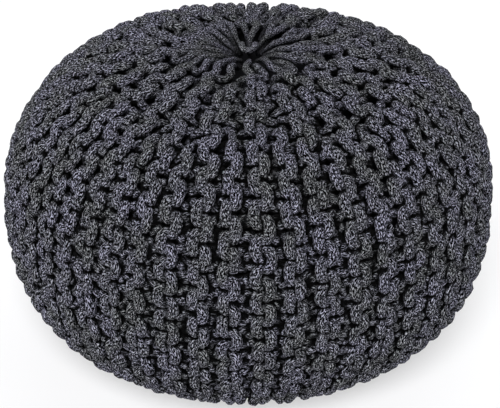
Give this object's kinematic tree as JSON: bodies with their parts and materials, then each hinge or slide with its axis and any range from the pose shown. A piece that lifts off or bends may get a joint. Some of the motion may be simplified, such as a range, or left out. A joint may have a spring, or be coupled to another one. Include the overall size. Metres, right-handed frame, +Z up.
{
  "type": "knitted pouf",
  "caption": "Round filled pouf with a hand-knitted garter-stitch cover, its ridges gathered into a hollow at the top, standing on a flat foot.",
  "frame": {"origin": "on the surface it stands on, under the middle of the pouf", "axes": "+Z up, through the middle of the gather; the pictured side faces -Y"},
  "size_m": [0.5484, 0.549, 0.3483],
  "materials": {
    "cord": "matte heathered cotton cord",
    "gathering_yarn": "matte heathered cotton yarn"
  },
  "bodies": {
    "root": {"knitted_cover": "cord", "gathering_loop": "gathering_yarn"}
  },
  "joints": []
}
